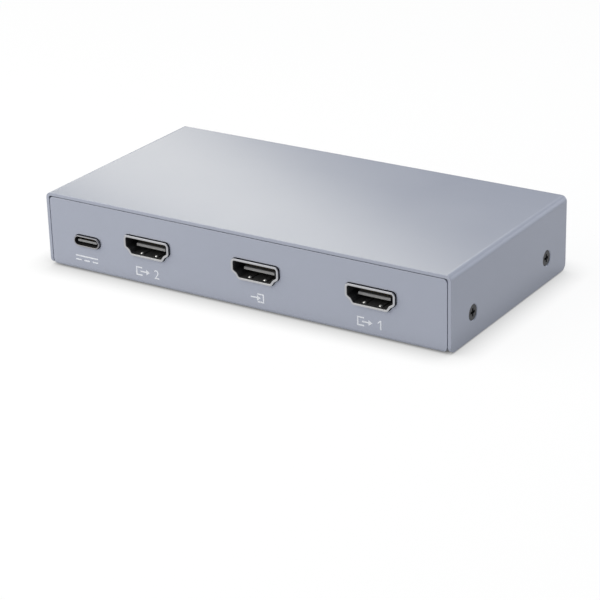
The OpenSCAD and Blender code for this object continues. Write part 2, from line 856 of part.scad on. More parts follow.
module socket_legs() {
    leg_bottom = socket_board_z - board_t - leg_reach;
    leg_top = cavity_lean_h + cavity_side_h / 2;
    for (side = [LEFT, RIGHT])
        for (depth = leg_depths)
            translate([side * (cavity_w + shell_t) / 2, depth, (leg_bottom + leg_top) / 2])
                cube([shell_t, leg_len, leg_top - leg_bottom], center = true);
}

// The folded wall of a shell, with the lip turned outwards at its mouth
module shell_tube() {
    difference() {
        union() {
            along_y(0, shell_depth) socket_outline(-shell_t);
            along_y(0, shell_t) socket_outline(-shell_t - lip_w);
        }
        along_y(-cut, shell_depth + 2 * cut) socket_outline(0);
    }
}

module socket_shell(place) {
    color(plated_colour)
        at_socket(place) {
            difference() {
                shell_tube();
                at_springs() spring_window();
            }
            at_springs() across_x(spring_w) spring_profile();
            socket_legs();
        }
}

// Offsets of the contacts in one row
function row_xs(count) = [for (i = [0:count - 1]) (i - (count - 1) / 2) * contact_pitch];

// Channel through an insert over one contact, open towards the tongue
module contact_channel(x, level) {
    width = contact_w + 2 * insert_gap;
    translate([x - width / 2, contact_tip - insert_gap, level])
        cube([width, solder_end, contact_t + insert_gap]);
}

module socket_insert(place) {
    body_from = shell_depth - insert_len;
    block_w = cavity_w - 2 * insert_gap;
    color(insert_colour)
        at_socket(place)
            difference() {
                union() {
                    along_y(body_from, insert_len + cut) socket_outline(insert_gap);
                    translate([-block_w / 2, shell_depth + insert_gap, socket_board_z])
                        cube([block_w, insert_foot_len - insert_gap, cavity_h - socket_board_z]);
                    across_x(tongue_w) tongue_profile(body_from + cut);
                }
                for (x = row_xs(upper_contacts))
                    contact_channel(x, tongue_top);
                for (x = row_xs(upper_contacts - 1))
                    contact_channel(x, tongue_under - contact_t - insert_gap);
            }
}

// The tongue in the socket's Y and Z, with a chamfered tip
module tongue_profile(rear) {
    chamfer_end = tongue_tip + tongue_chamfer;
    polygon([[tongue_tip, tongue_z - tongue_tip_t / 2], [chamfer_end, tongue_under],
        [rear, tongue_under], [rear, tongue_top], [chamfer_end, tongue_top],
        [tongue_tip, tongue_z + tongue_tip_t / 2]]);
}

// A contact in Y and Z: flat along the tongue, down behind the insert, and out to its solder foot
module contact_profile(tip, rear, level, board_z) {
    polygon([[tip, level], [rear - contact_t, level], [rear - contact_t, board_z],
        [rear + solder_len, board_z], [rear + solder_len, board_z + contact_t],
        [rear, board_z + contact_t], [rear, level + contact_t], [tip, level + contact_t]]);
}

module socket_contacts(place) {
    color(contact_colour)
        at_socket(place) {
            for (x = row_xs(upper_contacts))
                translate([x, 0, 0])
                    across_x(contact_w)
                        contact_profile(contact_tip, contact_rear, tongue_top, socket_board_z);
            for (x = row_xs(upper_contacts - 1))
                translate([x, 0, 0])
                    across_x(contact_w)
                        contact_profile(contact_tip, contact_rear, tongue_under - contact_t,
                            socket_board_z);
        }
}

// Power inlet

module inlet_legs() {
    leg_bottom = inlet_board_z - board_t - leg_reach;
    for (side = [LEFT, RIGHT])
        for (depth = inlet_leg_depths)
            translate([side * (inlet_w + inlet_shell_t) / 2, depth, leg_bottom / 2])
                cube([inlet_shell_t, inlet_leg_len, -leg_bottom], center = true);
}

module inlet_shell() {
    color(plated_colour)
        at_inlet() {
            along_y(0, inlet_depth)
                difference() {
                    slot_outline(inlet_outer_w, inlet_outer_h);
                    slot_outline(inlet_w, inlet_h);
                }
            inlet_legs();
        }
}

// Contact offsets on the lower face are those of the upper face turned half round
function inlet_row(face) = [for (x = inlet_contact_x) face * x];

module inlet_insert() {
    body_from = inlet_depth - inlet_insert_len;
    channel_w = inlet_contact_w + 2 * insert_gap;
    channel_t = contact_t + insert_gap;
    color(insert_colour)
        at_inlet()
            difference() {
                union() {
                    along_y(body_from, inlet_insert_len)
                        slot_outline(inlet_w - 2 * insert_gap, inlet_h - 2 * insert_gap);
                    translate([-inlet_tongue_w / 2, inlet_tongue_tip, -inlet_tongue_t / 2])
                        cube([inlet_tongue_w, body_from + cut - inlet_tongue_tip, inlet_tongue_t]);
                }
                for (face = [-1, 1])
                    for (x = inlet_row(face))
                        translate([x, body_from, face * (inlet_tongue_t + channel_t) / 2])
                            cube([channel_w, 2 * (inlet_insert_len + cut), channel_t], center = true);
            }
}

module inlet_contacts() {
    tip = inlet_tongue_tip + contact_setback;
    color(contact_colour)
        at_inlet()
            for (face = [-1, 1])
                for (x = inlet_row(face))
                    translate([x, 0, 0])
                        across_x(inlet_contact_w)
                            contact_profile(tip, inlet_contact_rear,
                                face * (inlet_tongue_t + contact_t) / 2 - contact_t / 2,
                                inlet_board_z);
}

// Chips

module splitter_chip() {
    color(chip_colour)
        on_board(splitter_at)
            linear_extrude(splitter_h)
                round_cornered(splitter_side, splitter_side, splitter_h / 2);
}

module thermal_tape() {
    color(tape_colour)
        on_board(splitter_at)
            translate([0, 0, splitter_h])
                linear_extrude(tape_t) square(splitter_side, center = true);
}

module heat_sink() {
    fin_step = (sink_side - sink_fin_t) / (sink_fins - 1);
    color(metal_colour)
        translate([splitter_at.x, splitter_at.y, foot_h + sink_z]) {
            translate([-sink_side / 2, -sink_side / 2, 0]) cube([sink_side, sink_side, sink_base]);
            for (i = [0:sink_fins - 1])
                translate([-sink_side / 2 + i * fin_step, -sink_side / 2, 0])
                    cube([sink_fin_t, sink_side, sink_h]);
        }
}

// A row of bent leads along one side of a chip, in the chip's X
module lead_row(count, pitch, body_side) {
    mid_z = leaded_lift + leaded_h / 2;
    bend = body_side + lead_out / 2;
    for (i = [0:count - 1])
        translate([(i - (count - 1) / 2) * pitch, 0, 0])
            across_x(lead_w)
                polygon([[body_side - cut, mid_z], [bend - lead_t, mid_z], [bend - lead_t, 0],
                    [body_side + lead_out, 0], [body_side + lead_out, lead_t], [bend, lead_t],
                    [bend, mid_z + lead_t], [body_side - cut, mid_z + lead_t]]);
}

module chip_body(length, width) {
    translate([-length / 2, -width / 2, leaded_lift]) cube([length, width, leaded_h]);
}

module small_chip() {
    leads_a_side = 4;
    color(chip_colour) {
        chip_body(small_chip_len, small_chip_w);
        for (turn = [0, 180])
            rotate(turn) lead_row(leads_a_side, small_lead_pitch, small_chip_w / 2);
    }
}

module controller_chip() {
    color(chip_colour)
        on_board(controller_at) {
            chip_body(controller_side, controller_side);
            for (turn = [0:90:270])
                rotate(turn) lead_row(controller_leads, fine_lead_pitch, controller_side / 2);
        }
}

module memory_chip() {
    on_board(memory_at) small_chip();
}

module regulator_chip() {
    by_inlet(regulator_at) small_chip();
}

// Other board parts

module crystal() {
    color(metal_colour)
        on_board(crystal_at) {
            linear_extrude(crystal_flange_t)
                slot_outline(crystal_len + 2 * crystal_flange, crystal_w + 2 * crystal_flange);
            linear_extrude(crystal_h) slot_outline(crystal_len, crystal_w);
        }
}

// A square base under a wound bobbin
module power_inductor() {
    rim_r = inductor_side / 2;
    waist_r = rim_r - inductor_waist;
    winding_from = 2 * inductor_flange;
    winding_to = inductor_h - inductor_flange;
    color(ferrite_colour)
        by_inlet(inductor_at) {
            linear_extrude(inductor_flange)
                round_cornered(inductor_side, inductor_side, inductor_flange);
            rotate_extrude()
                polygon([[0, 0], [rim_r, 0], [rim_r, winding_from], [waist_r, winding_from],
                    [waist_r, winding_to], [rim_r, winding_to], [rim_r, inductor_h],
                    [0, inductor_h]]);
        }
}

// A rolled can on its square base
module capacitor(at) {
    can_r = can_d / 2;
    groove_z = can_base_t + 2 * can_groove;
    color(metal_colour)
        by_inlet(at) {
            linear_extrude(can_base_t) round_cornered(can_base_side, can_base_side, can_groove);
            rotate_extrude()
                polygon([[0, 0], [can_r - can_groove, 0], [can_r - can_groove, groove_z],
                    [can_r, groove_z + can_groove], [can_r, can_h - can_groove],
                    [can_r - can_groove, can_h], [0, can_h]]);
        }
}

module guard_diodes(place) {
    row_y = mouth_y + solder_end + guard_gap;
    color(chip_colour)
        on_board([socket_x(place), row_y])
            for (i = [0:guards - 1])
                translate([(i - (guards - 1) / 2) * guard_pitch - guard_size.x / 2, 0, 0])
                    cube(guard_size);
}

module chip_capacitors() {
    color(ceramic_colour)
        for (side = [LEFT, RIGHT])
            on_board([splitter_at.x + side * (sink_side / 2 + passive_gap + passive_size.x / 2),
                    splitter_at.y])
                for (i = [0:capacitor_count - 1])
                    translate([-passive_size.x / 2,
                            (i - (capacitor_count - 1) / 2) * passive_pitch - passive_size.y / 2, 0])
                        cube(passive_size);
}

module chip_resistors() {
    color(chip_colour)
        on_board(resistors_at)
            for (i = [0:resistor_count - 1])
                translate([(i - (resistor_count - 1) / 2) * passive_pitch - passive_size.y / 2,
                        -passive_size.x / 2, 0])
                    cube([passive_size.y, passive_size.x, passive_size.z]);
}

// A lamp that shines rearwards from the board's edge
module lamp(place) {
    color(lamp_colour)
        on_board([light_x + place * light_pitch, board_rear])
            difference() {
                translate([-lamp_w / 2, -lamp_len, 0]) cube([lamp_w, lamp_len, lamp_h]);
                translate([0, 0, lamp_h / 2])
                    along_y(-lamp_window_depth, lamp_window_depth + cut) circle(lamp_window_r);
            }
}

// A clear pipe with a collar inside the panel and a domed tip outside it
module light_pipe(place) {
    pipe_r = pipe_d / 2;
    dome_r = (pipe_r * pipe_r + pipe_proud * pipe_proud) / (2 * pipe_proud);
    collar_from = panel_inner_y - pipe_collar_len;
    color(clear_colour)
        translate([light_x + place * light_pitch, 0, foot_h + pipe_z])
            rotate([-90, 0, 0])
                rotate_extrude()
                    intersection() {
                        union() {
                            translate([0, pipe_start]) square([pipe_r, pipe_end - pipe_start]);
                            translate([0, collar_from]) square([pipe_collar_d / 2, pipe_collar_len]);
                        }
                        union() {
                            square([pipe_collar_d, case_d / 2]);
                            intersection() {
                                translate([0, pipe_end - dome_r]) circle(dome_r);
                                translate([0, panel_inner_y]) square([pipe_r, pipe_end]);
                            }
                        }
                    }
}

top_cover();
bottom_tray();
cover_screws();
foot(LEFT, FRONT);  // foot_front_left
foot(RIGHT, FRONT);  // foot_front_right
foot(LEFT, REAR);  // foot_rear_left
foot(RIGHT, REAR);  // foot_rear_right
circuit_board();
board_standoffs();
board_screws();
socket_shell(LEFT);  // left_socket_shell
socket_insert(LEFT);  // left_socket_insert
socket_contacts(LEFT);  // left_socket_contacts
socket_shell(MIDDLE);  // middle_socket_shell
socket_insert(MIDDLE);  // middle_socket_insert
socket_contacts(MIDDLE);  // middle_socket_contacts
socket_shell(RIGHT);  // right_socket_shell
socket_insert(RIGHT);  // right_socket_insert
socket_contacts(RIGHT);  // right_socket_contacts
inlet_shell();
inlet_insert();
inlet_contacts();
splitter_chip();
thermal_tape();
heat_sink();
controller_chip();
memory_chip();
crystal();
regulator_chip();
power_inductor();
capacitor(capacitors_at[0]);  // input_capacitor
capacitor(capacitors_at[1]);  // output_capacitor
guard_diodes(LEFT);  // left_guard_diodes
guard_diodes(MIDDLE);  // middle_guard_diodes
guard_diodes(RIGHT);  // right_guard_diodes
chip_capacitors();
chip_resistors();
lamp(LEFT);  // lamp_left
lamp(MIDDLE);  // lamp_middle
lamp(RIGHT);  // lamp_right
light_pipe(LEFT);  // pipe_left
light_pipe(MIDDLE);  // pipe_middle
light_pipe(RIGHT);  // pipe_right
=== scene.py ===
"""Looks of a small video splitter box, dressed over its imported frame: a folded satin case with
black side screws, three video sockets and a power inlet in the front panel, printed marks under
them, and light pipes behind. Lengths are metres, in the frame's own axes."""

import math

import bmesh
import bpy
from mathutils import Matrix, Quaternion, Vector


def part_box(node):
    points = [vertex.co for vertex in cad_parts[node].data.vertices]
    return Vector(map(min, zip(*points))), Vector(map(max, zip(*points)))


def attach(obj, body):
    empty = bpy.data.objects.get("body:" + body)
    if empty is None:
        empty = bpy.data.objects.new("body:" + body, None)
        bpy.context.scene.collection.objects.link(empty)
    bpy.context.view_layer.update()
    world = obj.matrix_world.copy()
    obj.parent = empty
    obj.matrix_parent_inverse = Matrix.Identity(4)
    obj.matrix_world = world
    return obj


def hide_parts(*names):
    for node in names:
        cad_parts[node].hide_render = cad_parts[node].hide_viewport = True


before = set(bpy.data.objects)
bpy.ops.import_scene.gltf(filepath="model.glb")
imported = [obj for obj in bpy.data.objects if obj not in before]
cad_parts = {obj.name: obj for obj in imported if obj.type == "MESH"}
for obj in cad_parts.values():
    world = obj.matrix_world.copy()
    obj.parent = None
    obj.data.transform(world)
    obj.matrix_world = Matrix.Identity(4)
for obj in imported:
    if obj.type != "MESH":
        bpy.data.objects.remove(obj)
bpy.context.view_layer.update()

MM = 0.001
SOCKETS = ("left", "middle", "right")
PANEL_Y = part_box("bottom_tray")[0][1]
MOUTH_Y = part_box("middle_socket_shell")[0][1]
TONGUE_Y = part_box("middle_socket_insert")[0][1]
INLET_TONGUE_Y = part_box("inlet_insert")[0][1]

# Angles past which an edge is sharp and under which faces are one flat, and lengths that are
# taken as nothing when points are merged or compared
SHARP_EDGE = math.radians(40)
FLAT = math.radians(0.4)
MERGE = 1e-7
NEAR = 0.01 * MM

# Widths over which one finish gives way to the next
WIDE_CHANGE = 0.1 * MM
FINE_CHANGE = 0.05 * MM
THIN_CHANGE = 0.02 * MM


# Shader tools

class Wire:
    """A shader socket that takes part in sums, each of which adds a Math node."""

    def __init__(self, finish, socket):
        self.finish = finish
        self.socket = socket

    def sum(self, operation, *terms):
        return self.finish.node("ShaderNodeMath", {"operation": operation},
                                dict(enumerate(terms)))["Value"]

    def __add__(self, other):
        return self.sum("ADD", self, other)

    def __radd__(self, other):
        return self.sum("ADD", other, self)

    def __sub__(self, other):
        return self.sum("SUBTRACT", self, other)

    def __rsub__(self, other):
        return self.sum("SUBTRACT", other, self)

    def __mul__(self, other):
        return self.sum("MULTIPLY", self, other)

    def __rmul__(self, other):
        return self.sum("MULTIPLY", other, self)

    def __abs__(self):
        return self.sum("ABSOLUTE", self)

    def power(self, other):
        return self.sum("POWER", self, other)

    def at_least(self, other):
        return self.sum("MAXIMUM", self, other)


class Finish:
    """A node tree under construction, for a material or the world."""

    def __init__(self, owner):
        owner.use_nodes = True
        self.owner = owner
        self.tree = owner.node_tree
        self.tree.nodes.clear()

    @classmethod
    def named(cls, name):
        return cls(bpy.data.materials.new(name))

    def node(self, kind, settings=None, inputs=None):
        """Adds any node: its settings first, then the values or links of its sockets."""
        made = self.tree.nodes.new(kind)
        for name, value in (settings or {}).items():
            setattr(made, name, value)
        for key, value in (inputs or {}).items():
            socket = made.inputs[key] if isinstance(key, int) else next(
                s for s in made.inputs if s.name == key and not s.is_unavailable)
            if isinstance(value, Wire):
                self.tree.links.new(value.socket, socket)
            else:
                socket.default_value = value
        return {s.name: Wire(self, s) for s in made.outputs if not s.is_unavailable}

    def place(self):
        return self.node("ShaderNodeTexCoord")["Object"]

    def axes(self):
        parts = self.node("ShaderNodeSeparateXYZ", None, {"Vector": self.place()})
        return parts["X"], parts["Y"], parts["Z"]

    def noise(self, scale, detail=2.0, stretch=None):
        place = self.place()
        if stretch:
            place = self.node("ShaderNodeMapping", None,
                              {"Vector": place, "Scale": stretch})["Vector"]
        return self.node("ShaderNodeTexNoise", None,
                         {"Vector": place, "Scale": scale, "Detail": detail})["Fac"]

    def blend(self, factor, first, second):
        return self.node("ShaderNodeMix", {"data_type": "RGBA"},
                         {"Factor": factor, "A": first, "B": second})["Result"]

    def rise(self, value, start, end):
        """0 below start, 1 above end, and a smooth rise between them."""
        return self.node("ShaderNodeMapRange", {"interpolation_type": "SMOOTHSTEP"},
                         {"Value": value, "From Min": start, "From Max": end})["Result"]

    def bump(self, height, depth, strength=1.0):
        return self.node("ShaderNodeBump", None,
                         {"Height": height, "Distance": depth, "Strength": strength})["Normal"]

    def shade(self, **sockets):
        """Closes the tree with one Principled shader and gives the material."""
        inputs = {name.replace("_", " "): value for name, value in sockets.items()}
        shader = self.node("ShaderNodeBsdfPrincipled", None, inputs)["BSDF"]
        self.node("ShaderNodeOutputMaterial", None, {"Surface": shader})
        return self.owner


def colour(red, green, blue):
    return (red, green, blue, 1.0)


# Finishes

NOSE_L = 0.1 * MM
NOSE_CHANGE = 0.15 * MM
CHIP_HALF = 0.8 * MM
CHIP_END = 0.5 * MM
CHIP_END_CHANGE = 0.06 * MM
LEAD_L = 1.0 * MM
SQUARE_WITHIN = 0.2 * MM
CAN_BASE_H = 1.0 * MM
WINDING_R = 3.0 * MM
WINDING_LOW = 1.6 * MM
TOP_FLANGE = 0.8 * MM
LAMP_FACE_T = 0.15 * MM
# Painted shade for the plated shells, deep inside them and behind their mouths
PAINTED_SHADE_NICKEL = colour(0.12, 0.12, 0.125)
STREAK_SHARE = 0.88


def satin_case_finish():
    """Fine blasted sheet under a thin cool grey coat."""
    made = Finish.named("satin_case")
    grain = made.noise(7000.0, 2.0)
    cloud = made.noise(45.0, 3.0)
    tone = made.blend(cloud * 0.6 + grain * 0.4, colour(0.388, 0.410, 0.490),
                      colour(0.428, 0.450, 0.530))
    return made.shade(Base_Color=tone, Metallic=0.25,
                      Roughness=0.12 + cloud * 0.05 + grain * 0.04,
                      Normal=made.bump(grain, 0.002 * MM, 0.4))


def nickel_finish(node, bright, middle, inner_reach, outer_reach):
    """Plated sheet that is bright round its mouth: its inside and its outside have their own reach,
    and beyond it both are darkened to a painted shade."""
    made = Finish.named(node + "_nickel")
    x, y, z = made.axes()
    facing = made.node("ShaderNodeSeparateXYZ", None,
                       {"Vector": made.node("ShaderNodeNewGeometry")["Normal"]})
    outward = facing["X"] * (x - middle.x) + facing["Z"] * (z - middle.z)
    outer = made.rise(outward, 0.0, WIDE_CHANGE)
    depth = y - MOUTH_Y - outer * (outer_reach - inner_reach)
    streak = made.noise(900.0, 2.0, (1.0, 0.15, 1.0))
    # Painted shade: darker beyond the bright reach round the mouth
    painted_shade = made.rise(depth, inner_reach, inner_reach + WIDE_CHANGE)
    rim = made.blend(streak, colour(*(STREAK_SHARE * c for c in bright)), colour(*bright))
    return made.shade(Base_Color=made.blend(painted_shade, rim, PAINTED_SHADE_NICKEL),
                      Metallic=1.0, Roughness=0.28 + streak * 0.1 + painted_shade * 0.3,
                      Normal=made.bump(streak, 0.003 * MM, 0.4))


# Nickel of the spring bosses: real plating, but made near-white and only partly metallic so that a
# painted highlight covers the whole boss
def painted_highlight_nickel_finish():
    made = Finish.named("painted_highlight_nickel")
    streak = made.noise(1500.0, 2.0)
    return made.shade(Base_Color=made.blend(streak, colour(0.88, 0.88, 0.87),
                                            colour(0.96, 0.96, 0.95)),
                      Metallic=0.6, Roughness=0.3 + streak * 0.08)


def moulded_finish(name, dark, light, tongue_y, painted_lit_nose):
    """Glass-filled moulding with a paler nose at the front of its tongue, where light is painted.
    """
    made = Finish.named(name)
    fibre = made.noise(2600.0, 3.0)
    behind = made.rise(made.axes()[1], tongue_y + NOSE_L, tongue_y + NOSE_L + NOSE_CHANGE)
    tone = made.blend(behind, painted_lit_nose, made.blend(fibre, dark, light))
    return made.shade(Base_Color=tone, Roughness=0.42 + fibre * 0.16,
                      Normal=made.bump(fibre, 0.004 * MM, 0.4))


def plain_metal_finish(name, first, second, scale, rough, stretch=None):
    made = Finish.named(name)
    wear = made.noise(scale, 3.0, stretch)
    return made.shade(Base_Color=made.blend(wear, first, second), Metallic=1.0,
                      Roughness=rough + wear * 0.12, Normal=made.bump(wear, 0.004 * MM, 0.4))


def plain_finish(name, first, second, scale, rough):
    made = Finish.named(name)
    speck = made.noise(scale, 3.0)
    return made.shade(Base_Color=made.blend(speck, first, second),
                      Roughness=rough + speck * 0.15, Normal=made.bump(speck, 0.006 * MM, 0.5))


def blackened_screw_finish():
    made = Finish.named("blackened_steel")
    wear = made.noise(1800.0, 3.0)
    return made.shade(Base_Color=made.blend(wear, colour(0.012, 0.012, 0.014),
                                            colour(0.028, 0.028, 0.032)),
                      Metallic=0.35, Roughness=0.34 + wear * 0.16,
                      Normal=made.bump(wear, 0.004 * MM, 0.5))


def board_finish():
    """Green solder mask with copper runs faintly raised under it."""
    made = Finish.named("solder_mask")
    runs = made.node("ShaderNodeTexBrick", {"offset": 0.5},
                     {"Vector": made.place(), "Scale": 420.0, "Mortar Size": 0.035,
                      "Mortar Smooth": 0.2, "Brick Width": 1.6, "Row Height": 0.42})["Fac"]
    patch = made.rise(made.noise(90.0, 1.0), 0.46, 0.52)
    run = runs * patch
    tone = made.blend(run, colour(0.006, 0.075, 0.03), colour(0.015, 0.16, 0.06))
    return made.shade(Base_Color=tone, Roughness=0.3 + run * 0.08,
                      Normal=made.bump(run, 0.03 * MM, 0.6), Coat_Weight=0.3)


def leaded_chip_finish(node):
    """Black moulded body with tinned leads: on all four sides if it is square, else on two."""
    low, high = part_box(node)
    middle = (Vector(low) + Vector(high)) / 2
    half = (Vector(high) - Vector(low)) / 2
    made = Finish.named(node + "_package")
    x, y, _ = made.axes()
    outside = abs(y - middle.y) - (half.y - LEAD_L)
    if abs(half.x - half.y) < SQUARE_WITHIN:
        outside = outside.at_least(abs(x - middle.x) - (half.x - LEAD_L))
    lead = made.rise(outside, 0.0, FINE_CHANGE)
    speck = made.noise(2200.0, 3.0)
    body = made.blend(speck, colour(0.012, 0.012, 0.013), colour(0.03, 0.03, 0.032))
    return made.shade(Base_Color=made.blend(lead, body, colour(0.7, 0.69, 0.67)), Metallic=lead,
                      Roughness=0.5 + speck * 0.15 - lead * 0.2)


def tin_ended_finish(name, across, middle, reach, body_first, body_second):
    """Small chip parts at a reach on both sides of a middle: ceramic, with tinned ends."""
    made = Finish.named(name)
    along = abs(abs(made.axes()[across] - middle) - reach)
    tin = made.rise(along, CHIP_END, CHIP_END + CHIP_END_CHANGE)
    speck = made.noise(3000.0, 2.0)
    body = made.blend(speck, body_first, body_second)
    return made.shade(Base_Color=made.blend(tin, body, colour(0.72, 0.71, 0.69)), Metallic=tin,
                      Roughness=0.45 - tin * 0.15 + speck * 0.1)


def can_finish(node):
    """Bare rolled can on a black base."""
    base_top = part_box(node)[0][2] + CAN_BASE_H
    made = Finish.named(node + "_can")
    base = 1.0 - made.rise(made.axes()[2], base_top, base_top + FINE_CHANGE)
    turned = made.noise(500.0, 2.0, (1.0, 1.0, 6.0))
    metal = made.blend(turned, colour(0.62, 0.62, 0.63), colour(0.78, 0.78, 0.79))
    return made.shade(Base_Color=made.blend(base, metal, colour(0.015, 0.015, 0.016)),
                      Metallic=1.0 - base, Roughness=0.3 + turned * 0.1 + base * 0.25)


def inductor_finish():
    """Dark ferrite flanges with enamelled copper wire wound between them."""
    low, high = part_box("power_inductor")
    middle = (Vector(low) + Vector(high)) / 2
    made = Finish.named("wound_ferrite")
    x, y, z = made.axes()
    away = (x - middle.x) * (x - middle.x) + (y - middle.y) * (y - middle.y)
    inside = 1.0 - made.rise(away, WINDING_R ** 2, (WINDING_R + WIDE_CHANGE) ** 2)
    start, end = low[2] + WINDING_LOW, high[2] - TOP_FLANGE
    wound = inside * made.rise(z, start, start + THIN_CHANGE) * (
        1.0 - made.rise(z, end - THIN_CHANGE, end))
    turns = made.node("ShaderNodeTexWave", {"bands_direction": "Z"},
                      {"Vector": made.place(), "Scale": 700.0, "Distortion": 0.4})["Fac"]
    speck = made.noise(2600.0, 3.0)
    ferrite = made.blend(speck, colour(0.02, 0.02, 0.022), colour(0.05, 0.05, 0.052))
    copper = made.blend(turns, colour(0.28, 0.09, 0.035), colour(0.62, 0.24, 0.1))
    return made.shade(Base_Color=made.blend(wound, ferrite, copper), Metallic=wound,
                      Roughness=0.6 - wound * 0.28)


def clear_pipe_finish():
    made = Finish.named("clear_acrylic")
    haze = made.noise(600.0, 2.0)
    return made.shade(Base_Color=made.blend(haze, colour(0.86, 0.9, 0.92),
                                            colour(0.96, 0.97, 0.98)),
                      Roughness=0.1 + haze * 0.12, Transmission_Weight=0.75, IOR=1.49)


def lamp_finish():
    """Yellow resin with a white rear face, in which its window is open."""
    made = Finish.named("lamp_resin")
    speck = made.noise(2500.0, 2.0)
    face_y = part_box("lamp_left")[1][1] - LAMP_FACE_T
    face = made.rise(made.axes()[1], face_y - WIDE_CHANGE, face_y)
    white = made.blend(speck, colour(0.78, 0.77, 0.72), colour(0.88, 0.87, 0.83))
    return made.shade(Base_Color=made.blend(face, colour(0.85, 0.72, 0.28), white),
                      Roughness=0.4 + speck * 0.1)


def white_ink_finish():
    made = Finish.named("white_ink")
    mesh = made.noise(5000.0, 2.0)
    return made.shade(Base_Color=made.blend(mesh, colour(0.80, 0.81, 0.86),
                                            colour(0.90, 0.91, 0.95)),
                      Roughness=0.5 + mesh * 0.15)


satin_case = satin_case_finish()
spring_highlight_nickel = painted_highlight_nickel_finish()
# The pale nose tones are painted light on the fronts of the black tongues
socket_black = moulded_finish("socket_moulding", colour(0.070, 0.070, 0.073),
                              colour(0.100, 0.100, 0.104), TONGUE_Y,
                              colour(0.35, 0.345, 0.345))
inlet_black = moulded_finish("inlet_moulding", colour(0.010, 0.010, 0.011),
                             colour(0.020, 0.020, 0.021), INLET_TONGUE_Y,
                             colour(0.29, 0.29, 0.29))
# Gold darkened into a painted shade, for contacts that sit deep inside the sockets
contact_gold = plain_metal_finish("contact_gold", colour(0.14, 0.10, 0.045),
                                  colour(0.20, 0.145, 0.065), 3000.0, 0.3)
black_screws = blackened_screw_finish()
foot_rubber = plain_finish("foot_rubber", colour(0.012, 0.012, 0.012),
                           colour(0.03, 0.03, 0.03), 2400.0, 0.7)
stud_steel = plain_metal_finish("zinc_steel", colour(0.5, 0.51, 0.53), colour(0.66, 0.67, 0.69),
                                700.0, 0.28)
sink_metal = plain_metal_finish("drawn_sink", colour(0.55, 0.56, 0.58), colour(0.68, 0.69, 0.71),
                                900.0, 0.32, (1.0, 0.08, 1.0))
crystal_can = plain_metal_finish("crystal_can", colour(0.66, 0.65, 0.62),
                                 colour(0.8, 0.79, 0.76), 500.0, 0.22)
chip_black = plain_finish("chip_moulding", colour(0.012, 0.012, 0.013),
                          colour(0.03, 0.03, 0.032), 2200.0, 0.5)
tape_grey = plain_finish("thermal_tape", colour(0.24, 0.28, 0.32), colour(0.32, 0.36, 0.40),
                         1500.0, 0.65)
white_ink = white_ink_finish()


# Mesh tools

def finished(mesh, name, material, replaced=()):
    """Makes a piece of a bmesh, rides it on the one body and hides the CAD nodes that it replaces.
    """
    data = bpy.data.meshes.new(name)
    mesh.to_mesh(data)
    mesh.free()
    piece = bpy.data.objects.new(name, data)
    bpy.context.scene.collection.objects.link(piece)
    data.materials.append(material)
    data.shade_smooth()
    data.set_sharp_from_angle(angle=SHARP_EDGE)
    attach(piece, "root")
    if replaced:
        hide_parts(*replaced)
    return piece


def copied(node):
    """A CAD node's mesh with its triangles merged, and joined where they lie flat."""
    mesh = bmesh.new()
    mesh.from_mesh(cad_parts[node].data)
    bmesh.ops.remove_doubles(mesh, verts=mesh.verts, dist=MERGE)
    bmesh.ops.dissolve_limit(mesh, angle_limit=FLAT, verts=mesh.verts, edges=mesh.edges,
                             use_dissolve_boundaries=False)
    mesh.normal_update()
    return mesh


def ends(passed):
    """Chooses the edges whose ends both pass a test of their place."""
    return lambda edge: all(passed(vert.co) for vert in edge.verts)


def mouth_edges(way, middle):
    """Chooses the outer (way 1) or the inner (way -1) edges of a shell's mouth."""
    def chosen(edge):
        wall = min(edge.link_faces, key=lambda face: abs(face.normal.y))
        at_mouth = all(vert.co.y < MOUTH_Y + NEAR for vert in edge.verts)
        return at_mouth and way * wall.normal.dot(edge.verts[0].co - middle) > 0.0
    return chosen


def dressed(node, material, slot, *eases):
    """A CAD node with its sharp edges rounded over: each ease is a radius and a choice of edges."""
    mesh = copied(node)
    for radius, chosen in eases:
        edges = [edge for edge in mesh.edges
                 if edge.calc_face_angle() > SHARP_EDGE and chosen(edge)]
        bmesh.ops.bevel(mesh, geom=edges, offset=radius, offset_type="OFFSET", segments=3,
                        profile=0.5, affect="EDGES", material=-1)
        mesh.normal_update()
    piece = finished(mesh, node + "_eased", material, (node,))
    piece.modifiers.new("flats", "WEIGHTED_NORMAL").keep_sharp = True
    return piece


# Case and ports

EDGE_R = 0.08 * MM
TONGUE_EDGE_R = 0.06 * MM
TONGUE_CHAMFER = 0.6 * MM
SCREW_FACE_X = 66.0 * MM
SHELL_T = 0.3 * MM
LIP_W = 0.4 * MM
LIP_FOLD_R = 0.25 * MM
CAVITY_H = 4.55 * MM
SOCKET_DROP = LIP_W + SHELL_T + CAVITY_H / 2
INLET_DROP = 1.58 * MM
SOCKET_NICKEL = (0.48, 0.485, 0.505)
INLET_NICKEL = (0.33, 0.33, 0.345)
RIM_REACH = 0.3 * MM
INLET_OUTER_REACH = 2.0 * MM


def shell_middle(node, drop):
    """Middle of a shell's mouth, at a drop below the top of the shell."""
    low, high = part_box(node)
    return Vector(((low[0] + high[0]) / 2, MOUTH_Y, high[2] - drop))


def socket_middle(side):
    return shell_middle(side + "_socket_shell", SOCKET_DROP)


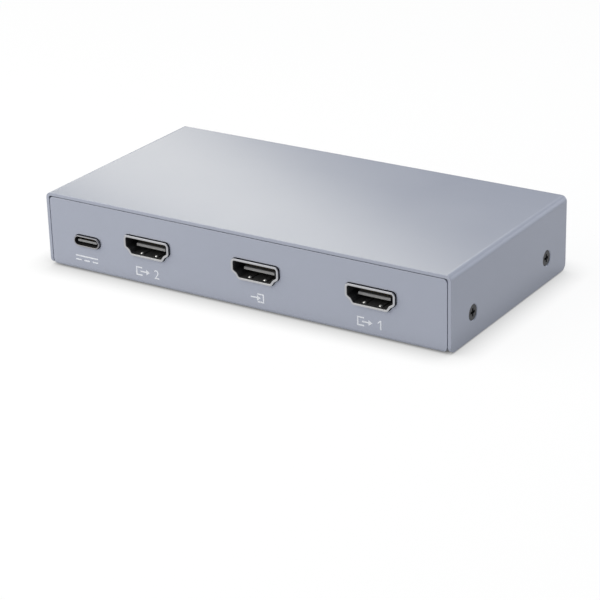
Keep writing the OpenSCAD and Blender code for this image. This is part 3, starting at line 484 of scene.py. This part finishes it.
dressed("top_cover", satin_case, "case_metal", (EDGE_R, ends(lambda point: True)))
dressed("bottom_tray", satin_case, "case_metal",
        (EDGE_R, ends(lambda point: abs(point.y) > abs(PANEL_Y) - NEAR)))
dressed("cover_screws", black_screws, "black_steel",
        (EDGE_R, ends(lambda point: abs(point.x) > SCREW_FACE_X)))
for side in SOCKETS:
    shell = side + "_socket_shell"
    middle = socket_middle(side)
    dressed(shell, nickel_finish(shell, SOCKET_NICKEL, middle, 0.0, RIM_REACH), "plated_steel",
            (LIP_FOLD_R, mouth_edges(-1, middle)), (EDGE_R, mouth_edges(1, middle)))
    dressed(side + "_socket_insert", socket_black, "socket_plastic",
            (TONGUE_EDGE_R, ends(lambda point: point.y < TONGUE_Y + TONGUE_CHAMFER)))
inlet_middle = shell_middle("inlet_shell", INLET_DROP)
inlet_plating = nickel_finish("inlet_shell", INLET_NICKEL, inlet_middle, RIM_REACH,
                              INLET_OUTER_REACH)
dressed("inlet_shell", inlet_plating, "plated_steel",
        (EDGE_R, ends(lambda point: point.y < MOUTH_Y + NEAR)))
dressed("inlet_insert", inlet_black, "socket_plastic",
        (EDGE_R, ends(lambda point: point.y < INLET_TONGUE_Y + NEAR)))

SPRING_X = 2.5 * MM
BOSS_DEPTH = 1.6 * MM
BOSS_RISE = -0.08 * MM
BOSS_R = 0.5 * MM
BOSS_FLATNESS = 0.8


def spring_bosses(side):
    """Round bosses pressed into the two lower spring fingers, where they touch a plug."""
    middle = socket_middle(side)
    boss_z = middle.z - CAVITY_H / 2 + BOSS_RISE
    mesh = bmesh.new()
    for way in (-1, 1):
        place = Matrix.Translation((middle.x + way * SPRING_X, MOUTH_Y + BOSS_DEPTH, boss_z))
        bmesh.ops.create_uvsphere(mesh, u_segments=24, v_segments=12, radius=BOSS_R,
                                  matrix=place @ Matrix.Diagonal((1.0, 1.0, BOSS_FLATNESS, 1.0)))
    return finished(mesh, side + "_spring_bosses", spring_highlight_nickel)


for side in SOCKETS:
    spring_bosses(side)


# Printed marks: arrows out of and into a frame, plain numbers, and the sign for direct current

PRINT_T = 0.02 * MM
MARK_Z = 4.25 * MM
MARK_H = 2.7 * MM
STROKE = 0.42 * MM
FRAME_W = 2.2 * MM
ARROW_L = 3.3 * MM
HEAD_L = 1.25 * MM
HEAD_H = 1.7 * MM
DIGIT_SHARE = 0.69
ONE_W = 1.15 * MM
ONE_FLAG = 0.65 * MM
ONE_NOTCH = 1.2 * STROKE
OUTPUT_START = -4.4 * MM
OUTPUT_ARROW = 1.5 * MM
OUTPUT_ONE = 6.4 * MM
OUTPUT_DIGIT = 6.2 * MM
INPUT_BACK = 2.5 * MM
INPUT_TIP_GAP = 1.1 * MM
SUPPLY_W = 8.0 * MM
SUPPLY_SHIFT = -0.7 * MM
SUPPLY_RISE = 0.6 * MM
DASH_W = 2.0 * MM
DASH_GAP = 1.0 * MM


def print_shape(mesh, points):
    """Prints a flat outline, given as x and z on the front panel."""
    corners = [mesh.verts.new((x, PANEL_Y, z)) for x, z in points]
    face = mesh.faces.new(corners)
    made = bmesh.ops.extrude_face_region(mesh, geom=[face])["geom"]
    bmesh.ops.translate(mesh, vec=(0.0, -PRINT_T, 0.0),
                        verts=[part for part in made if isinstance(part, bmesh.types.BMVert)])
    bmesh.ops.recalc_face_normals(mesh, faces=mesh.faces)


def print_bar(mesh, x, z, width):
    print_shape(mesh, [(x, z - STROKE / 2), (x + width, z - STROKE / 2),
                       (x + width, z + STROKE / 2), (x, z + STROKE / 2)])


def print_frame(mesh, back_x, way):
    """A frame open on one side: its back at back_x, its arms running in the given way."""
    low, high = MARK_Z - MARK_H / 2, MARK_Z + MARK_H / 2
    arm, web = back_x + way * FRAME_W, back_x + way * STROKE
    print_shape(mesh, [(back_x, low), (arm, low), (arm, low + STROKE), (web, low + STROKE),
                       (web, high - STROKE), (arm, high - STROKE), (arm, high), (back_x, high)])


def print_arrow(mesh, tail_x):
    neck_x, tip_x = tail_x + ARROW_L - HEAD_L, tail_x + ARROW_L
    print_shape(mesh, [(tail_x, MARK_Z - STROKE / 2), (neck_x, MARK_Z - STROKE / 2),
                       (neck_x, MARK_Z - HEAD_H / 2), (tip_x, MARK_Z),
                       (neck_x, MARK_Z + HEAD_H / 2), (neck_x, MARK_Z + STROKE / 2),
                       (tail_x, MARK_Z + STROKE / 2)])


def print_digit(mesh, digit, x):
    letters = bpy.data.curves.new("digit", "FONT")
    letters.body = digit
    letters.size = MARK_H / DIGIT_SHARE
    letters.extrude = PRINT_T / 2
    holder = bpy.data.objects.new("digit", letters)
    bpy.context.scene.collection.objects.link(holder)
    solid = bpy.data.meshes.new_from_object(
        holder.evaluated_get(bpy.context.evaluated_depsgraph_get()))
    bpy.data.objects.remove(holder)
    solid.transform(Matrix.Translation((x, PANEL_Y - PRINT_T / 2, MARK_Z - MARK_H / 2))
                    @ Matrix.Rotation(math.pi / 2, 4, "X"))
    mesh.from_mesh(solid)
    bmesh.ops.remove_doubles(mesh, verts=mesh.verts, dist=MERGE)
    bpy.data.meshes.remove(solid)


def print_one(mesh, x):
    """A plain 1: an upright with a slanting flag."""
    low, high = MARK_Z - MARK_H / 2, MARK_Z + MARK_H / 2
    back, flag = x + ONE_W, high - ONE_FLAG
    print_shape(mesh, [(back - STROKE, low), (back, low), (back, high), (back - STROKE, high),
                       (x, flag), (x, flag - STROKE), (back - STROKE, high - ONE_NOTCH)])


def output_mark(side, digit):
    mesh = bmesh.new()
    start = socket_middle(side).x + OUTPUT_START
    print_frame(mesh, start, 1)
    print_arrow(mesh, start + OUTPUT_ARROW)
    if digit == "1":
        print_one(mesh, start + OUTPUT_ONE)
    else:
        print_digit(mesh, digit, start + OUTPUT_DIGIT)
    return finished(mesh, side + "_socket_mark", white_ink)


def input_mark(side):
    mesh = bmesh.new()
    back = socket_middle(side).x + INPUT_BACK
    print_frame(mesh, back, -1)
    print_arrow(mesh, back - INPUT_TIP_GAP - ARROW_L)
    return finished(mesh, side + "_socket_mark", white_ink)


def supply_mark():
    """A long bar over three short ones."""
    mesh = bmesh.new()
    start = inlet_middle.x + SUPPLY_SHIFT - SUPPLY_W / 2
    print_bar(mesh, start, MARK_Z + SUPPLY_RISE, SUPPLY_W)
    for step in range(3):
        print_bar(mesh, start + step * (DASH_W + DASH_GAP), MARK_Z - SUPPLY_RISE, DASH_W)
    return finished(mesh, "inlet_mark", white_ink)


output_mark("left", "2")
input_mark("middle")
output_mark("right", "1")
supply_mark()


# Finishes of the pieces that stay as the frame gives them

board_mask = board_finish()
clear_pipe = clear_pipe_finish()
lamp_resin = lamp_finish()
capacitor_low, capacitor_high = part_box("chip_capacitors")
resistor_low, resistor_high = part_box("chip_resistors")
capacitor_x = (capacitor_low[0] + capacitor_high[0]) / 2
capacitor_reach = (capacitor_high[0] - capacitor_low[0]) / 2 - CHIP_HALF
KEPT = {
    "circuit_board": board_mask, "board_standoffs": stud_steel, "board_screws": stud_steel,
    "inlet_contacts": contact_gold, "splitter_chip": chip_black, "thermal_tape": tape_grey,
    "heat_sink": sink_metal, "crystal": crystal_can, "power_inductor": inductor_finish(),
    "chip_capacitors": tin_ended_finish("chip_capacitors", 0, capacitor_x, capacitor_reach,
                                        colour(0.42, 0.30, 0.18), colour(0.50, 0.38, 0.25)),
    "chip_resistors": tin_ended_finish("chip_resistors", 1,
                                       (resistor_low[1] + resistor_high[1]) / 2, 0.0,
                                       colour(0.012, 0.012, 0.014), colour(0.03, 0.03, 0.034)),
}
for side in SOCKETS:
    KEPT[side + "_socket_contacts"] = contact_gold
    KEPT[side + "_guard_diodes"] = chip_black
    KEPT["lamp_" + side] = lamp_resin
    KEPT["pipe_" + side] = clear_pipe
for node in ("foot_front_left", "foot_front_right", "foot_rear_left", "foot_rear_right"):
    KEPT[node] = foot_rubber
for node in ("controller_chip", "memory_chip", "regulator_chip"):
    KEPT[node] = leaded_chip_finish(node)
for node in ("input_capacitor", "output_capacitor"):
    KEPT[node] = can_finish(node)
for node, material in KEPT.items():
    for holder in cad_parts[node].material_slots:
        holder.material = material


# Studio

FLOOR_HALF = 6.0
# Reach and fade of the painted contact shade on the floor
CONTACT_REACH = 9.0 * MM
CONTACT_FADE = 0.55
FLOOR_WHITE = 0.9

floor_mesh = bmesh.new()
bmesh.ops.create_grid(floor_mesh, x_segments=1, y_segments=1, size=FLOOR_HALF)
floor_data = bpy.data.meshes.new("floor")
floor_mesh.to_mesh(floor_data)
floor_mesh.free()
floor = bpy.data.objects.new("floor", floor_data)
bpy.context.scene.collection.objects.link(floor)


def floor_finish():
    """White to the eye and in reflections, darkened near the object by a painted contact shade,
    while its paper share still takes the object's shadow.
    """
    made = Finish.named("studio_floor")
    rays = made.node("ShaderNodeLightPath")
    seen = rays["Is Camera Ray"].at_least(rays["Is Glossy Ray"]).at_least(
        rays["Is Transmission Ray"])
    paper = made.node("ShaderNodeBsdfDiffuse", None,
                      {"Color": made.blend(seen, colour(0.34, 0.37, 0.42),
                                           colour(0.95, 0.95, 0.95))})["BSDF"]
    # Painted contact shade: the emitted white is darkened where the object hems the floor in
    open_air = made.node("ShaderNodeAmbientOcclusion", {"samples": 16},
                         {"Distance": CONTACT_REACH})["AO"]
    painted_contact_shade = made.blend(open_air.power(CONTACT_FADE), colour(0.0, 0.0, 0.0), colour(1.0, 1.0, 1.0))
    white = made.node("ShaderNodeEmission", None, {"Color": painted_contact_shade})["Emission"]
    mixed = made.node("ShaderNodeMixShader", None,
                      {"Fac": seen * FLOOR_WHITE, 1: paper, 2: white})["Shader"]
    made.node("ShaderNodeOutputMaterial", None, {"Surface": mixed})
    return made.owner


floor_data.materials.append(floor_finish())

world = bpy.data.worlds.new("studio")
bpy.context.scene.world = world
sky = Finish(world)
backdrop = sky.node("ShaderNodeBackground", None,
                    {"Color": colour(0.83, 0.92, 1.03), "Strength": 0.257})["Background"]
sky.node("ShaderNodeOutputWorld", None, {"Surface": backdrop})


def softbox(name, place, aim, width, height, power, tilt=0.0, tint=(1.0, 1.0, 1.0)):
    lamp = bpy.data.lights.new(name, "AREA")
    lamp.shape = "RECTANGLE"
    lamp.size = width
    lamp.size_y = height
    lamp.energy = power
    lamp.color = tint
    made = bpy.data.objects.new(name, lamp)
    made.location = place
    made.rotation_euler = ((Vector(aim) - Vector(place)).to_track_quat("-Z", "Y")
                           @ Quaternion((0.0, 0.0, 1.0), tilt)).to_euler()
    bpy.context.scene.collection.objects.link(made)


# A strip that lays a pale band over the top, a large soft light on the front, two that the
# cover's right-hand bend reflects, and one from above
softbox("band_light", (-0.5154, 0.672, 0.334), (-0.025, -0.010, 0.022), 0.095, 0.70, 0.330,
        math.radians(54.0), (1.0, 0.955, 0.79))
softbox("front_light", (-0.34, -0.33, 0.29), (-0.03, -0.03, 0.01), 0.90, 0.60, 3.85,
        0.0, (1.0, 0.97, 0.90))
softbox("upper_bend_light", (0.06, 0.63, 0.49), (0.03, 0.0, 0.02), 0.72, 0.30, 0.35)
softbox("lower_bend_light", (0.44, 0.72, 0.21), (0.06, 0.0, 0.02), 0.40, 0.40, 0.55)
softbox("top_light", (0.06, 0.04, 0.60), (0.0, 0.0, 0.02), 0.40, 0.40, 1.7)

# Camera at the photograph's own angle, with its sensor and lens in millimetres
CAMERA_PLACE = Vector((312.427, -484.840, 235.218)) * MM
CAMERA_TURN = math.radians(32.980)
CAMERA_RISE = math.radians(23.061)
CAMERA_ROLL = math.radians(-1.603)
SENSOR_W = 36.0
LENS = 129.12

camera_data = bpy.data.cameras.new("camera")
camera_data.sensor_width = SENSOR_W
camera_data.lens = LENS
camera_data.clip_start = 0.01
camera = bpy.data.objects.new("camera", camera_data)
camera.matrix_world = (Matrix.Translation(CAMERA_PLACE) @ Matrix.Rotation(CAMERA_TURN, 4, "Z")
                       @ Matrix.Rotation(math.pi / 2 - CAMERA_RISE, 4, "X")
                       @ Matrix.Rotation(CAMERA_ROLL, 4, "Z"))
bpy.context.scene.collection.objects.link(camera)
bpy.context.scene.camera = camera
bpy.context.scene.view_settings.view_transform = "Standard"
